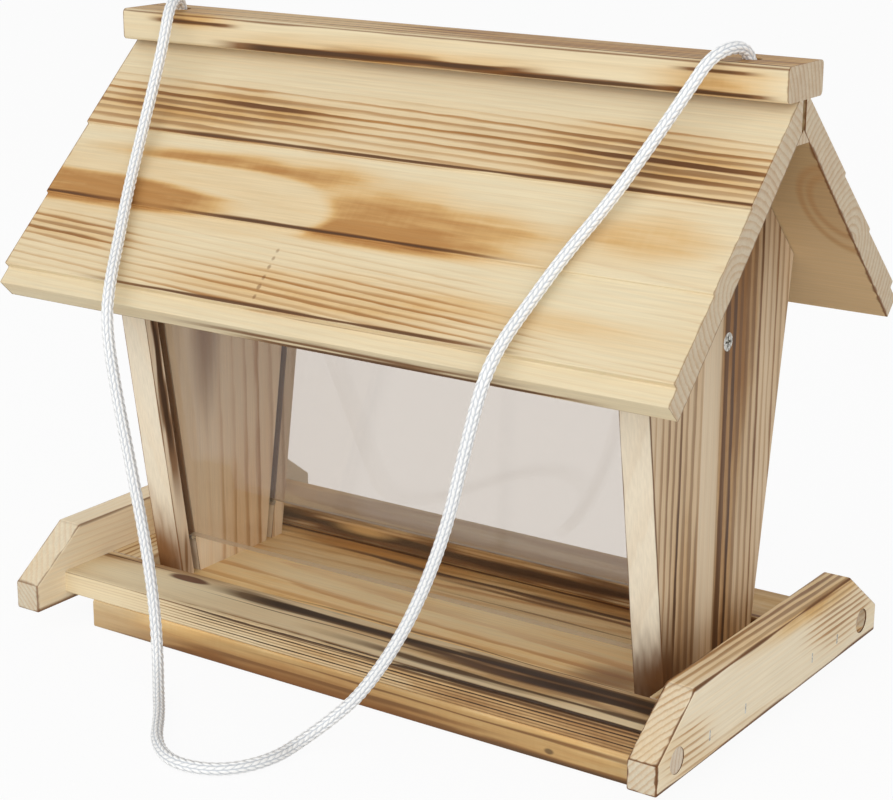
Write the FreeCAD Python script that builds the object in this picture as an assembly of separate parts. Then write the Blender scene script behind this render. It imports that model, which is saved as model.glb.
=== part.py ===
import FreeCAD, Part
import math
import os

# Bird feeding house, sizes in mm.
# X runs along the ridge, -Y is the front, Z is up from the surface the house stands on.

# Tray
board_t = 11.8
tray_half = 74.2
board_reach = 1.3
plank_t = 9.4
plank_w = 29.2
strip_w = 16.5
edge_r = 1.0

# End rails
rail_t = 12.0
rail_low = 7.8
rail_h = 31.0
rail_reach = 16.5
rail_flat = 64.1
rail_end_h = 11.4
staple_at = (-52.4, -24.8, 31.3, 53.8)
staple_crown = 4.0
staple_wire = 1.0
staple_bite = 8.0
plug_r = 5.0
plug_reach = 2.4
plug_bore = 9.0
plug_sunk_front = 0.3
plug_sunk_rear = 3.0

# End walls and panes
wall_t = 12.5
wall_in = 110.0
foot_half = 33.4
wall_lean = 0.155
pane_t = 3.0
pane_back = 9.0
pane_play = 0.5
pane_low = 30.0
pane_travel = 12.0
groove_d = 5.5
pane_end_play = 0.8
pin_r = 1.3
pin_bite = 5.0
pin_proud = 1.0
pin_play = 0.2

# Crossbar and screws
bar_w = 24.0
bar_h = 20.0
bar_z = 143.0
screw_y = 5.5
screw_r = 1.75
head_r = 3.5
head_h = 2.2
recess_w = 0.9
recess_l = 4.2
recess_d = 1.3
bar_bite = 26.0
foot_bite = 26.0
foot_screw_y = 16.0
plank_screw_x = (-90.0, 0.0, 90.0)
plank_left = 2.0

# Roof
roof_overhang = 28.2
apex_h = 212.3
roof_t = 11.9
step_h = 1.2
step_pitch = 35.2
roof_slope_len = 119.0
eave_rebate = 7.4
eave_t = 9.1
ridge_gap = 1.5
ridge_lift = 10.4
ridge_w = 27.0
ridge_t = 12.5
ridge_r = 1.8
fillet_h = 4.9
roof_play = 0.3
ridge_screw_x = (-75.0, 0.0, 75.0)
ridge_screw_r = 1.4
ridge_screw_bite = 9.0

# Cord
cord_r = 2.5
cord_hole_r = 3.5
cord_x = 130.0
cord_join_z = 240.0
cord_join_play = 0.2
knot_r = 6.0
knot_in = 4.1
cord_route = (
    (-122.0, -16.5, 252.0), (-118.0, -26.0, 236.5), (-117.0, -33.5, 221.0), (-114.5, -45.0, 201.5),
    (-106.5, -62.5, 183.0), (-97.4, -79.0, 166.5), (-88.5, -94.0, 154.5), (-84.5, -101.0, 141.0),
    (-80.5, -101.5, 117.0), (-74.5, -100.5, 84.0), (-69.0, -100.0, 54.0), (-65.5, -100.5, 30.0),
    (-63.5, -102.0, 11.5), (-51.0, -116.0, 2.9), (-39.5, -128.5, 2.9), (-25.0, -147.0, 2.9),
    (-10.0, -156.0, 2.9), (5.0, -153.5, 2.9), (14.0, -145.0, 2.9), (18.5, -132.5, 2.9),
    (18.3, -119.0, 2.9), (24.5, -107.0, 9.5), (37.0, -103.5, 22.5), (55.0, -101.0, 51.4),
    (70.0, -100.3, 88.0), (78.5, -100.3, 122.0), (84.5, -99.5, 146.0), (85.5, -90.0, 157.5),
    (88.0, -77.0, 168.5), (93.0, -61.5, 184.0), (101.0, -46.0, 200.5), (110.5, -32.5, 221.5),
    (118.0, -26.5, 236.0), (125.0, -18.5, 251.5),
)
cord_top_z = 251.5
tail_route = ((130.0, 0.0, 220.0), (126.0, 0.0, 198.0), (110.0, 0.0, 183.0))

wall_out = wall_in + wall_t
rail_in = wall_out + strip_w
rail_out = rail_in + rail_t
plank_inner = tray_half - plank_w
plank_top = board_t + plank_t
plank_mid = board_t + plank_t / 2
rail_half = tray_half + rail_reach
plug_y = tray_half + plug_reach
roof_half = wall_out + roof_overhang
roof_under = board_t + apex_h
root2 = math.sqrt(2.0)
os.makedirs("parts", exist_ok=True)


def vec(x, y, z):
    return FreeCAD.Vector(x, y, z)


def box(x0, x1, y0, y1, z0, z1):
    return Part.makeBox(x1 - x0, y1 - y0, z1 - z0, vec(x0, y0, z0))


def prism(profile, x0, x1):
    """Solid with a (y, z) profile, from x0 to x1."""
    points = [vec(x0, y, z) for y, z in profile]
    return Part.Face(Part.makePolygon(points + points[:1])).extrude(vec(x1 - x0, 0, 0))


def flip_x(shape):
    return shape.mirror(vec(0, 0, 0), vec(1, 0, 0))


def flip_y(shape):
    return shape.mirror(vec(0, 0, 0), vec(0, 1, 0))


def along_x(edge):
    a, b = (v.Point for v in edge.Vertexes)
    return abs(a.y - b.y) + abs(a.z - b.z) < 1e-6


def ease(solid, radius, pick):
    return solid.makeFillet(radius, [e for e in solid.Edges if len(e.Vertexes) == 2 and pick(e)])


def turned(shape, at, axis):
    shape.Placement = FreeCAD.Placement(at, FreeCAD.Rotation(vec(0, 0, 1), axis))
    return shape


def screw(at, axis, length, radius):
    """Countersunk screw with its head's face at the given point; returns the screw and its bore."""
    tip = 2 * radius
    body = Part.makeCone(head_r, radius, head_h).fuse(Part.makeCylinder(radius, length - tip))
    body = body.fuse(Part.makeCone(radius, 0.2, tip, vec(0, 0, length - tip))).removeSplitter()
    slot = box(-recess_l / 2, recess_l / 2, -recess_w / 2, recess_w / 2, 0, recess_d)
    cross = slot.fuse(box(-recess_w / 2, recess_w / 2, -recess_l / 2, recess_l / 2, 0, recess_d))
    return turned(body.cut(cross), at, axis), turned(body.copy(), at, axis)


def tube(points, name):
    """Round cord along straight runs with tangent arcs between them."""
    points = [vec(*p) for p in points]
    edges = []
    radii = []
    start = points[0]
    for before, corner, after in zip(points, points[1:], points[2:]):
        back = (before - corner).normalize()
        ahead = (after - corner).normalize()
        half_turn = (math.pi - back.getAngle(ahead)) / 2
        cut = 0.45 * min((before - corner).Length, (after - corner).Length)
        radius = cut / math.tan(half_turn)
        inward = (back + ahead).normalize()
        centre = corner + inward * (radius / math.cos(half_turn))
        first = corner + back * cut
        last = corner + ahead * cut
        edges.append(Part.LineSegment(start, first).toShape())
        edges.append(Part.Arc(first, centre - inward * radius, last).toShape())
        radii.append(radius)
        start = last
    edges.append(Part.LineSegment(start, points[-1]).toShape())
    path = Part.Wire(edges)
    ring = Part.Wire(Part.makeCircle(cord_r, points[0], points[1] - points[0]))
    solid = path.makePipeShell([ring], True, False)
    ratio = solid.Volume / (math.pi * cord_r ** 2 * path.Length)
    print(name, "length", round(path.Length, 1), "volume ratio", round(ratio, 4))
    print(name, "radii", [round(r, 1) for r in radii])
    return solid


def joined(shapes):
    return Part.makeCompound(shapes)


def save(shape, node):
    shape.exportStep("parts/" + node + ".step")


# Screws from below: into the walls' feet and into the tray planks
up = vec(0, 0, 1)
wall_mid = (wall_in + wall_out) / 2
plank_y = (plank_inner + tray_half) / 2
foot_screws = [
    screw(vec(sx * wall_mid, sy * foot_screw_y, 0), up, board_t + foot_bite, screw_r)
    for sx in (-1, 1) for sy in (-1, 1)
]
plank_screws = [
    screw(vec(x, sy * plank_y, 0), up, plank_top - plank_left, screw_r)
    for x in plank_screw_x for sy in (-1, 1)
]
foot_bores = joined([bore for body, bore in foot_screws])
plank_bores = joined([bore for body, bore in plank_screws])

# Staples through the rails into the planks' and strips' ends
staples = []
for y in staple_at:
    top = plank_mid + staple_crown / 2
    low = plank_mid - staple_crown / 2
    half = staple_wire / 2
    crown = box(rail_out - staple_wire, rail_out, y - half, y + half, low, top)
    for z in (low, top - staple_wire):
        crown = crown.fuse(box(rail_in - staple_bite, rail_out, y - half, y + half, z, z + staple_wire))
    staples.append(crown.removeSplitter())
    staples.append(flip_x(staples[-1]))
staple_slots = joined(staples)

# Tray
floor_board = box(-wall_out - board_reach, rail_in, -tray_half, tray_half, 0, board_t)
floor_board = ease(floor_board, edge_r, along_x).cut(foot_bores).cut(plank_bores)
front_plank = box(-rail_in, rail_in, -tray_half, -plank_inner, board_t, plank_top)
front_plank = ease(front_plank, edge_r, along_x)
rear_plank = flip_y(front_plank).cut(plank_bores).cut(staple_slots)
front_plank = front_plank.cut(plank_bores).cut(staple_slots)
strip = box(wall_out, rail_in, -plank_inner, plank_inner, board_t, plank_top)

# End rails with their plugs
rail_top = rail_low + rail_h
rail_profile = [
    (-rail_half, rail_low), (rail_half, rail_low), (rail_half, rail_low + rail_end_h),
    (rail_flat, rail_top), (-rail_flat, rail_top), (-rail_half, rail_low + rail_end_h),
]
rail = prism(rail_profile, rail_in, rail_out)
rail = ease(rail, edge_r, lambda e: True)
plugs = []
for side, sunk in ((-1, plug_sunk_front), (1, plug_sunk_rear)):
    floor_at = vec(rail_out - plug_bore, side * plug_y, plank_mid)
    rail = rail.cut(Part.makeCylinder(plug_r, plug_bore + 1, floor_at, vec(1, 0, 0)))
    plugs.append(Part.makeCylinder(plug_r, plug_bore - sunk, floor_at, vec(1, 0, 0)))
    plugs.append(flip_x(plugs[-1]))
left_rail = flip_x(rail).cut(staple_slots)
right_rail = rail.cut(staple_slots)

# End walls: leaning edges, a gable that carries the roof and a flat under the ridge fillet
gable = roof_under - roof_play * root2
eave_z = (gable - foot_half + wall_lean * board_t) / (1 + wall_lean)
eave_y = gable - eave_z
flat_z = roof_under - fillet_h - roof_play
wall_profile = [
    (-foot_half, board_t), (foot_half, board_t), (eave_y, eave_z), (gable - flat_z, flat_z),
    (flat_z - gable, flat_z), (-eave_y, eave_z),
]
wall = prism(wall_profile, wall_in, wall_out)
lean_len = math.hypot(1.0, wall_lean)
pane_mid_foot = foot_half - pane_back
groove_half = (pane_t / 2 + pane_play) * lean_len
groove_top = roof_under
groove = prism(
    [
        (pane_mid_foot - groove_half, board_t),
        (pane_mid_foot + groove_half, board_t),
        (pane_mid_foot + groove_half + wall_lean * (groove_top - board_t), groove_top),
        (pane_mid_foot - groove_half + wall_lean * (groove_top - board_t), groove_top),
    ],
    wall_in, wall_in + groove_d,
)
wall = wall.cut(groove).cut(flip_y(groove))

# Crossbar between the walls, held by a screw through each of them
bar_screw, bar_bore = screw(vec(wall_out, screw_y, bar_z), vec(-1, 0, 0), wall_t + bar_bite, screw_r)
bar_low = bar_z - bar_h / 2
crossbar = box(-wall_in, wall_in, -bar_w / 2, bar_w / 2, bar_low, bar_low + bar_h)
crossbar = crossbar.cut(bar_bore).cut(flip_x(bar_bore))
wall = wall.cut(bar_bore)

# Slanted hole for the cord's tail through the gable
tail_bend = vec(*tail_route[-2])
tail_end = vec(*tail_route[-1])
tail_way = (tail_end - tail_bend).normalize()
cord_hole = Part.makeCylinder(cord_hole_r, 4 * wall_t, tail_bend - tail_way * wall_t, tail_way)
wall = wall.cut(cord_hole)

# Panes in the grooves: their lean, their length up to the free travel under the roof
up_y = wall_lean / lean_len
up_z = 1.0 / lean_len
pane_foot_y = pane_mid_foot + wall_lean * (pane_low - board_t)
reach = (roof_under - pane_foot_y - pane_low - pane_t) / (up_y + up_z)
pane_len = reach - pane_travel
half = pane_t / 2
pane_profile = [
    (pane_foot_y + up_z * half, pane_low - up_y * half),
    (pane_foot_y - up_z * half, pane_low + up_y * half),
    (pane_foot_y - up_z * half + up_y * pane_len, pane_low + up_y * half + up_z * pane_len),
    (pane_foot_y + up_z * half + up_y * pane_len, pane_low - up_y * half + up_z * pane_len),
]
pane_end = wall_in + groove_d - pane_end_play
rear_pane = prism(pane_profile, -pane_end, pane_end)
front_pane = flip_y(rear_pane)

# Stop pins across the grooves, just under the panes
pin_drop = pin_r + pin_play
pins = []
for side in (-1, 1):
    pin_at = vec(wall_in - pin_proud, side * (pane_foot_y - up_y * pin_drop), pane_low - up_z * pin_drop)
    pin = Part.makeCylinder(pin_r, pin_proud + groove_d + pin_bite, pin_at, vec(1, 0, 0))
    pins.append(pin)
    pins.append(flip_x(pin))
wall = wall.cut(joined(pins)).cut(foot_bores)
left_wall = flip_x(wall)


# Roof plank: stepped top over a flat underside, square at the eave, plumb at the ridge and flat under its board
def on_slope(along, thick):
    """(y, z) of a point at a distance down the slope and a height over the underside."""
    return (along + thick) / root2, roof_under + (thick - along) / root2


edge_at = [roof_slope_len - eave_rebate - i * step_pitch for i in range(3)]
rate = step_h / step_pitch
profile = [on_slope(roof_slope_len, 0), on_slope(roof_slope_len, eave_t), on_slope(edge_at[0], eave_t)]
for edge, following in zip(edge_at, edge_at[1:]):
    profile.append(on_slope(edge, roof_t))
    profile.append(on_slope(following, roof_t - step_h))
profile.append(on_slope(edge_at[-1], roof_t))
top_t = roof_t - rate * edge_at[-1]
ridge_low = roof_under + ridge_lift
top_along = (top_t - ridge_lift * root2) / (1 - rate)
profile.append(on_slope(top_along, top_t + rate * top_along))
profile.append((ridge_gap, ridge_low))
profile.append((ridge_gap, roof_under - ridge_gap))
rear_roof = prism(profile, -roof_half, roof_half)
rear_roof = ease(rear_roof, edge_r * 0.5, lambda e: along_x(e) and e.CenterOfMass.y > 2 * ridge_gap)

# Ridge board and the fillet under the apex, drawn together by screws through the gap
ridge_board = box(-roof_half, roof_half, -ridge_w / 2, ridge_w / 2, ridge_low, ridge_low + ridge_t)
ridge_board = ease(ridge_board, ridge_r, along_x)
fillet_low = roof_under - fillet_h
ridge_fillet = prism([(-fillet_h, fillet_low), (fillet_h, fillet_low), (0, roof_under)], -roof_half, roof_half)
ridge_screw_len = ridge_low + ridge_screw_bite - fillet_low
ridge_screws = [screw(vec(x, 0, fillet_low), up, ridge_screw_len, ridge_screw_r) for x in ridge_screw_x]
ridge_bores = joined([bore for body, bore in ridge_screws])
for sx in (-1, 1):
    hole = Part.makeCylinder(cord_hole_r, ridge_low + ridge_t - fillet_low + 2, vec(sx * cord_x, 0, fillet_low - 1))
    ridge_board = ridge_board.cut(hole)
    ridge_fillet = ridge_fillet.cut(hole)
    rear_roof = rear_roof.cut(hole)
ridge_board = ridge_board.cut(ridge_bores)
ridge_fillet = ridge_fillet.cut(ridge_bores)
front_roof = flip_y(rear_roof).cut(ridge_bores)
rear_roof = rear_roof.cut(ridge_bores)

# Cord: the loop over the roof, a tail through each gable and a knot on each tail
ends = [((sx * cord_x, 0.0, cord_join_z), (sx * cord_x, 0.0, cord_top_z)) for sx in (-1, 1)]
loop = tube(ends[0] + cord_route + ends[1][::-1], "cord loop")
tail = tube(((cord_x, 0.0, cord_join_z - cord_join_play),) + tail_route, "cord tail")
tails = [tail, flip_x(tail)]
knots = []
for sx, strand in zip((1, -1), tails):
    middle = tail_end + tail_way * knot_in
    middle.x *= sx
    ball = Part.makeSphere(knot_r, middle)
    face = sx * (wall_in + knot_r)
    ball = ball.cut(box(face - knot_r, face + knot_r, -2 * knot_r, 2 * knot_r, 0, roof_under))
    knots.append(ball.cut(strand))

save(floor_board, "floor_board")
save(front_plank, "front_tray_plank")
save(rear_plank, "rear_tray_plank")
save(flip_x(strip).cut(staple_slots), "left_end_strip")
save(strip.cut(staple_slots), "right_end_strip")
save(left_rail, "left_end_rail")
save(right_rail, "right_end_rail")
save(joined(staples), "rail_staples")
save(joined(plugs), "rail_plugs")
save(left_wall, "left_wall")
save(wall, "right_wall")
save(joined([body for body, bore in foot_screws]), "wall_foot_screws")
save(joined([body for body, bore in plank_screws]), "tray_plank_screws")
save(crossbar, "crossbar")
save(joined([bar_screw, flip_x(bar_screw)]), "crossbar_screws")
save(front_pane, "front_pane")
save(rear_pane, "rear_pane")
save(joined(pins), "pane_stop_pins")
save(front_roof, "front_roof_plank")
save(rear_roof, "rear_roof_plank")
save(ridge_fillet, "ridge_fillet")
save(ridge_board, "ridge_board")
save(joined([body for body, bore in ridge_screws]), "ridge_screws")
save(loop, "cord_loop")
save(joined(tails), "cord_tails")
save(joined(knots), "cord_knots")
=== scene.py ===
import logging
import math
from dataclasses import dataclass
from enum import Enum
from typing import Sequence

import bpy
from mathutils import Matrix, Quaternion, Vector


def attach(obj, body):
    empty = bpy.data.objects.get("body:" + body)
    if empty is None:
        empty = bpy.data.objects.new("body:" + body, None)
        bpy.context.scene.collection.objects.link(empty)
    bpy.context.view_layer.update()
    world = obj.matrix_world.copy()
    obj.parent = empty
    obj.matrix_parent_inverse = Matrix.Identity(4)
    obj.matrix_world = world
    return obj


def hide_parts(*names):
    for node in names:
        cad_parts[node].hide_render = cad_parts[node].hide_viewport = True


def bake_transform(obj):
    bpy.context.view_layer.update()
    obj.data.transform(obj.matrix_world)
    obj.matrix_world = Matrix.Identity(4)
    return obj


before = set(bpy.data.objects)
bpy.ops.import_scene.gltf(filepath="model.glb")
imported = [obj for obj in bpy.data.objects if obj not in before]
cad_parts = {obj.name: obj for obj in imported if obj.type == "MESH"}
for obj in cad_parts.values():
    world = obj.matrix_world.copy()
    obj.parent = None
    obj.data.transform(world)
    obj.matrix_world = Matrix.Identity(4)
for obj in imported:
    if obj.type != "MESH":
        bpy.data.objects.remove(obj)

log = logging.getLogger("feeding_house")

MM = 0.001
ROOT_HALF = math.sqrt(0.5)
FAR = 1000.0
SEED_STEP = 37.0

Vec3 = tuple[float, float, float]
Colour = tuple[float, float, float]
Socket = bpy.types.NodeSocket

ORIGIN: Vec3 = (0.0, 0.0, 0.0)
FRONT: Vec3 = (0.0, -1.0, 0.0)
REAR: Vec3 = (0.0, 1.0, 0.0)
UP: Vec3 = (0.0, 0.0, 1.0)


def linear(red: int, green: int, blue: int) -> Colour:
    """Turns a colour as seen on a screen into the linear one that shaders use.

    Args:
        red, green, blue: screen values from 0 to 255.

    Returns:
        The linear colour.
    """
    return tuple(
        c / 12.92 if c <= 0.04045 else ((c + 0.055) / 1.055) ** 2.4
        for c in (red / 255, green / 255, blue / 255)
    )


class Axis(Enum):
    """Direction that a board's grain runs in."""

    X = (1.0, 0.0, 0.0)
    Y = (0.0, 1.0, 0.0)
    Z = (0.0, 0.0, 1.0)


class NodeCanvas:
    """Writes the shader nodes of a material or of the surroundings as short expressions."""

    BUMP = 0.3

    def __init__(self, owner: bpy.types.Material | bpy.types.World) -> None:
        """Starts with no nodes.

        Args:
            owner: the material or world that the nodes belong to.
        """
        owner.use_nodes = True
        self.owner = owner
        self.tree = owner.node_tree
        self.tree.nodes.clear()

    def node(self, kind: str, **settings: object) -> bpy.types.Node:
        """Adds a node.

        Args:
            kind: the node's type name.
            settings: attributes to set on it.

        Returns:
            The new node.
        """
        made = self.tree.nodes.new(kind)
        for key, value in settings.items():
            setattr(made, key, value)
        return made

    def feed(self, socket: Socket, value: object) -> None:
        """Links a socket to another one, or sets its value.

        Args:
            socket: the input to fill.
            value: an output socket, a number, a vector or a colour.
        """
        if isinstance(value, bpy.types.NodeSocket):
            self.tree.links.new(value, socket)
        elif socket.type == "RGBA" and len(value) == 3:
            socket.default_value = (*value, 1.0)
        else:
            socket.default_value = value

    def math(self, operation: str, *values: object) -> Socket:
        """Adds a Math node.

        Args:
            operation: what it does.
            values: numbers or sockets that it works on.

        Returns:
            Its result.
        """
        made = self.node("ShaderNodeMath", operation=operation)
        for socket, value in zip(made.inputs, values):
            self.feed(socket, value)
        return made.outputs[0]

    def times(self, first: object, second: object) -> Socket:
        """Returns the product of two values."""
        return self.math("MULTIPLY", first, second)

    def vector(self, operation: str, *values: object) -> Socket:
        """Adds a Vector Math node.

        Args:
            operation: what it does.
            values: vectors or sockets that it works on.

        Returns:
            Its result: a number for a product or a length, and else a vector.
        """
        made = self.node("ShaderNodeVectorMath", operation=operation)
        for socket, value in zip(made.inputs, values):
            self.feed(socket, value)
        scalar = operation in ("DOT_PRODUCT", "LENGTH")
        return made.outputs["Value" if scalar else "Vector"]

    def dot(self, first: object, second: object) -> Socket:
        """Returns how far one vector reaches along another."""
        return self.vector("DOT_PRODUCT", first, second)

    def smooth(self, value: object, low: object, high: object) -> Socket:
        """Makes a soft step.

        Args:
            value: where to read it.
            low: where it is 0. This may be the larger one of the two.
            high: where it is 1.

        Returns:
            The step's height, from 0 to 1.
        """
        made = self.node("ShaderNodeMapRange", interpolation_type="SMOOTHSTEP")
        for socket, item in zip(made.inputs, (value, low, high, 0.0, 1.0)):
            self.feed(socket, item)
        return made.outputs[0]

    def span(self, value: object, low: float, high: float) -> Socket:
        """Returns a 0 to 1 value stretched to run from low to high."""
        return self.math("MULTIPLY_ADD", value, high - low, low)

    def noise(self, place: Socket, scale: float, detail: float = 2.0) -> Socket:
        """Makes soft noise.

        Args:
            place: where to read it.
            scale: how fine it is.
            detail: how many finer layers it has.

        Returns:
            A number around 0.5.
        """
        made = self.node("ShaderNodeTexNoise")
        self.feed(made.inputs["Vector"], place)
        self.feed(made.inputs["Scale"], scale)
        self.feed(made.inputs["Detail"], detail)
        return made.outputs[0]

    def dice(self, value: Socket) -> Socket:
        """Draws a random number that belongs to a value.

        Args:
            value: the value.

        Returns:
            The number, from 0 to 1.
        """
        made = self.node("ShaderNodeTexWhiteNoise", noise_dimensions="1D")
        self.feed(made.inputs["W"], value)
        return made.outputs["Value"]

    def curve(self, value: Socket, stops: Sequence[tuple[float, float]]) -> Socket:
        """Returns a value read off a line through the stops.

        Args:
            value: where to read.
            stops: (place, height) pairs with rising places and heights from 0 to 1.

        Returns:
            The height there.
        """
        low, high = stops[0][0], stops[-1][0]
        place = self.math("DIVIDE", self.math("SUBTRACT", value, low), high - low)
        ramp = self.node("ShaderNodeValToRGB")
        points = ramp.color_ramp.elements
        while len(points) < len(stops):
            points.new(0.5)
        for point, (at, height) in zip(points, stops):
            point.position = (at - low) / (high - low)
            point.color = (height, height, height, 1.0)
        self.feed(ramp.inputs[0], place)
        return ramp.outputs[0]

    def triple(self, first: object, second: object, third: object) -> Socket:
        """Joins three values.

        Args:
            first, second, third: numbers or sockets.

        Returns:
            The vector.
        """
        made = self.node("ShaderNodeCombineXYZ")
        for socket, value in zip(made.inputs, (first, second, third)):
            self.feed(socket, value)
        return made.outputs[0]

    def mix(self, share: object, first: object, second: object, way: str = "MIX") -> Socket:
        """Mixes two colours.

        Args:
            share: how much of the second one shows, from 0 to 1.
            first, second: the colours.
            way: how they are mixed.

        Returns:
            The mixed colour.
        """
        made = self.node("ShaderNodeMix", data_type="RGBA", blend_type=way)
        self.feed(made.inputs[0], share)
        self.feed(made.inputs[6], first)
        self.feed(made.inputs[7], second)
        return made.outputs[2]

    def place_mm(self) -> Socket:
        """Returns the shaded point in the part's frame, in millimetres."""
        here = self.node("ShaderNodeTexCoord").outputs["Object"]
        return self.vector("MULTIPLY", here, (1 / MM,) * 3)

    def normal(self) -> Socket:
        """Returns the surface's normal."""
        return self.node("ShaderNodeNewGeometry").outputs["True Normal"]

    def seen(self) -> Socket:
        """Tells what is looked at from what only sends light.

        Returns:
            1 for rays from the camera, off shiny surfaces and through clear ones, and else 0.
        """
        path = self.node("ShaderNodeLightPath").outputs
        direct = self.math("MAXIMUM", path["Is Camera Ray"], path["Is Glossy Ray"])
        return self.math("MAXIMUM", direct, path["Is Transmission Ray"])

    def filled(self, kind: str, inputs: dict[str, object]) -> bpy.types.Node:
        """Adds a node and fills its inputs.

        Args:
            kind: the node's type name.
            inputs: what goes into the inputs of these names.

        Returns:
            The new node.
        """
        made = self.node(kind)
        for name, value in inputs.items():
            self.feed(made.inputs[name], value)
        return made

    def between(self, share: object, first: bpy.types.Node, second: bpy.types.Node) -> bpy.types.Node:
        """Mixes two shaders.

        Args:
            share: how much of the second one shows, from 0 to 1.
            first, second: the shaders.

        Returns:
            The mixed shader.
        """
        made = self.node("ShaderNodeMixShader")
        for socket, value in zip(made.inputs, (share, first.outputs[0], second.outputs[0])):
            self.feed(socket, value)
        return made

    def bump(self, height: Socket, depth: float) -> Socket:
        """Makes fine relief.

        Args:
            height: the relief, from 0 to 1.
            depth: its depth in mm.

        Returns:
            The normal of the surface with the relief on it.
        """
        inputs = {"Strength": self.BUMP, "Distance": depth * MM, "Height": height}
        return self.filled("ShaderNodeBump", inputs).outputs[0]

    def finish(self, shader: bpy.types.Node, output: str = "ShaderNodeOutputMaterial") -> bpy.types.ID:
        """Connects the shader to the output and returns the material or world."""
        self.feed(self.node(output).inputs["Surface"], shader.outputs[0])
        return self.owner


@dataclass(frozen=True)
class Grain:
    """How a board was cut from its log, in millimetres.

    Attributes:
        along: direction of the fibres.
        across: direction over the board's width.
        out: direction through the board's thickness.
        origin: point that the board's coordinates count from.
        pith: place of the log's middle over the width and through the thickness.
        ring: growth ring's width.
        wander: how far the rings stray.
        tilt: how far the log's middle moves over the width and thickness per length.
        seed: makes each board's figure its own.
    """

    along: Axis
    across: Vec3
    out: Vec3
    origin: Vec3
    pith: tuple[float, float]
    ring: float
    wander: float
    tilt: tuple[float, float]
    seed: float


@dataclass(frozen=True)
class Band:
    """Dark stripe on the faces that a plane cuts: burnt where the flame lingered, and in places partly
    painted shade.

    Attributes:
        normal: the plane's normal.
        at: the plane's place along its normal, in mm.
        width: half width of the stripe, in mm.
        strength: how dark it is, from 0 to 1.
        start, stop: where it begins and ends along the grain, in mm.
        fade: length over which it begins and ends, in mm.
        sway: how far it waves to either side, in mm.
    """

    normal: Vec3
    at: float
    width: float
    strength: float = 0.9
    start: float = -FAR
    stop: float = FAR
    fade: float = 25.0
    sway: float = 0.0


@dataclass(frozen=True)
class Scorch:
    """Soft zone where the flame stayed longer, in the board's own coordinates.

    Attributes:
        middle: its place along the grain, over the width and through the thickness, in mm.
        reach: its half sizes, in mm.
        lines: how much it darkens the late wood; below 0 the wood stays paler.
        toast: how much it browns the wood as a whole.
    """

    middle: Vec3
    reach: Vec3
    lines: float
    toast: float = 0.0


@dataclass(frozen=True)
class Arch:
    """Arched figure of a flat-sawn board, which the flame browned evenly.

    Attributes:
        start: where along the grain its sides begin to close, in mm.
        tip: where they meet, in mm.
        middle: its middle over the board's width, in mm.
        half: its half width, in mm.
        toast: how browned the wood inside it is, from 0 to 1.
        soft: how soft its outline is.
    """

    start: float
    tip: float
    middle: float
    half: float
    toast: float
    soft: float = 0.1


@dataclass(frozen=True)
class Patch:
    """Knot, scorched spot, or patch of painted shade.

    Attributes:
        centre: its middle in the part's frame, in mm.
        radii: its half sizes, in mm.
        colour: its colour.
        strength: how strongly it covers the wood.
        soft: width of its soft rim, as a share of its radii.
    """

    centre: Vec3
    radii: Vec3
    colour: Colour
    strength: float = 0.9
    soft: float = 0.5


@dataclass(frozen=True)
class Palette:
    """Colours of flamed spruce, from bare wood to char."""

    pale: Colour = linear(237, 222, 187)
    honey: Colour = linear(214, 175, 116)
    tan: Colour = linear(174, 124, 68)
    brown: Colour = linear(114, 70, 30)
    char: Colour = linear(56, 34, 18)
    end: Colour = linear(220, 206, 187)
    bare: Colour = linear(234, 222, 199)
    # Colour of the painted shade on bare faces.
    bare_shadow_tone: Colour = linear(178, 146, 102)
    maroon: Colour = linear(92, 46, 30)


class Board:
    """Where the shaded point lies on a board, as sockets."""

    def __init__(self, canvas: NodeCanvas, grain: Grain) -> None:
        """Adds the nodes.

        Args:
            canvas: the material's canvas.
            grain: how the board was cut.
        """
        self.canvas = canvas
        self.grain = grain
        self.place = canvas.place_mm()
        self.normal = canvas.normal()
        local = canvas.vector("SUBTRACT", self.place, grain.origin)
        self.along = canvas.dot(local, grain.along.value)
        self.over = canvas.dot(local, grain.across)
        self.through = canvas.dot(local, grain.out)
        self.spot = canvas.triple(self.along, self.over, self.through)

    def streaks(self, ratio: float, shift: float = 0.0) -> Socket:
        """Squeezes the place along the grain, so that noise there runs in streaks.

        Args:
            ratio: how far it is squeezed.
            shift: moves the noise, so that it isn't the same one again.

        Returns:
            The squeezed place.
        """
        squeeze = tuple(1 / ratio if part else 1.0 for part in self.grain.along.value)
        moved = self.canvas.vector("ADD", self.place, (self.grain.seed * SEED_STEP + shift,) * 3)
        return self.canvas.vector("MULTIPLY", moved, squeeze)

    def flecks(self, ratio: float, scale: float, detail: float = 2.0, shift: float = 0.0) -> Socket:
        """Makes noise that is drawn out along the grain.

        Args:
            ratio: how far it is drawn out.
            scale: how fine it is.
            detail: how many finer layers it has.
            shift: moves it, so that it isn't the same one again.

        Returns:
            A number around 0.5.
        """
        return self.canvas.noise(self.streaks(ratio, shift), scale, detail)

    def strokes(self, ratio: float) -> Socket:
        """Returns the place squeezed across the grain, so that noise there runs in brush strokes."""
        return self.canvas.vector("MULTIPLY", self.spot, (1.0, 1 / ratio, 1 / ratio))

    def turned(self, way: Vec3) -> Socket:
        """Returns how squarely the surface faces a direction, from -1 to 1."""
        return self.canvas.dot(self.normal, way)


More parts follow.
